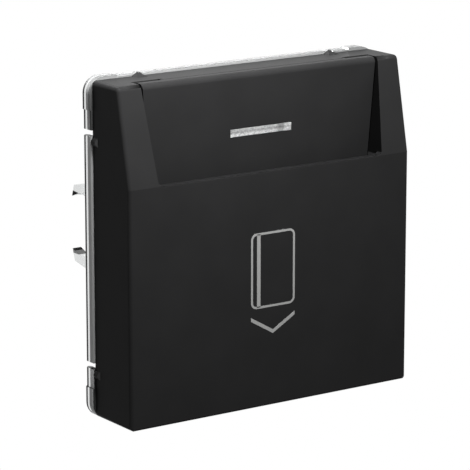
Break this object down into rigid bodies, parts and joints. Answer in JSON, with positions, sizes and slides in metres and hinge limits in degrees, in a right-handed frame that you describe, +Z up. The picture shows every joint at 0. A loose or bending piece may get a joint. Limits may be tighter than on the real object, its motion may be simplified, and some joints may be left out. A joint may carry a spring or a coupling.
{
  "type": "hotel key card switch",
  "caption": "Square wall switch with a top card slot, a sprung tongue that the card pushes back, a light window, a clear snap frame and a switch module behind.",
  "frame": {"origin": "centre of the clear frame's rear plane, where it sits on the wall frame", "axes": "+X to the right seen from the front, +Y into the wall, +Z up; the front faces -Y"},
  "size_m": [0.0702, 0.031, 0.0704],
  "materials": {
    "black_cover": "satin black moulded",
    "clear_lens": "clear faceted moulding",
    "clear_frame": "clear moulded polycarbonate",
    "dark_plastic": "fine matt",
    "grey_plastic": "fine matt",
    "white_plastic": "fine matt",
    "screw_steel": "zinc plated",
    "spring_steel": "bright drawn",
    "clamp_steel": "plated sheet",
    "copper_strip": "rolled strip",
    "brass_strip": "rolled strip",
    "contact_silver": "polished",
    "board_green": "lacquered board",
    "led_white": "clear diffused",
    "resistor_blue": "lacquered"
  },
  "bodies": {
    "housing": {"front_cover": "black_cover", "clear_frame": "clear_frame", "carrier_plate": "dark_plastic", "switch_housing": "grey_plastic", "housing_screws": "screw_steel", "contact_carrier": "white_plastic", "return_spring": "spring_steel", "contact_pivot_pin": "screw_steel", "contact_spring": "spring_steel", "line_busbar": "brass_strip", "load_busbar": "brass_strip", "neutral_busbar": "brass_strip", "fixed_contact": "contact_silver", "terminal_clamp_line": "clamp_steel", "terminal_clamp_neutral": "clamp_steel", "terminal_clamp_load": "clamp_steel", "terminal_screws": "screw_steel", "circuit_board": "board_green", "indicator_led": "led_white", "series_resistor": "resistor_blue"},
    "card_tongue": {"card_flap": "black_cover", "window_lens": "clear_lens"},
    "push_pin": {"plunger": "white_plastic"},
    "switch_arm": {"contact_arm": "copper_strip", "arm_contact": "contact_silver"}
  },
  "joints": [
    {"name": "tongue_hinge", "type": "hinge", "parent": "housing", "child": "card_tongue", "pos_m": [0, -0.00947, 0.0336], "axis": [1, 0, 0], "range_deg": [0, 2.54], "stiffness_Nm_per_rad": 0.9, "springref_deg": -1.15},
    {"name": "plunger_slide", "type": "slide", "parent": "housing", "child": "push_pin", "axis": [0, 1, 0], "range_m": [0, 0.00176], "stiffness_N_per_m": 0.05, "springref_m": -0.001, "deforming": ["return_spring"]},
    {"name": "arm_pivot", "type": "hinge", "parent": "housing", "child": "switch_arm", "pos_m": [-0.0115, 0.00125, -0.006], "axis": [0, 0, 1], "range_deg": [0, 8.76], "stiffness_Nm_per_rad": 0.0001, "springref_deg": -2.86, "deforming": ["contact_spring"]}
  ],
  "couplings": [
    {"joint": "plunger_slide", "follows": "tongue_hinge", "m_per_rad": 0.0396},
    {"joint": "arm_pivot", "follows": "tongue_hinge", "ratio": 3.4435}
  ]
}
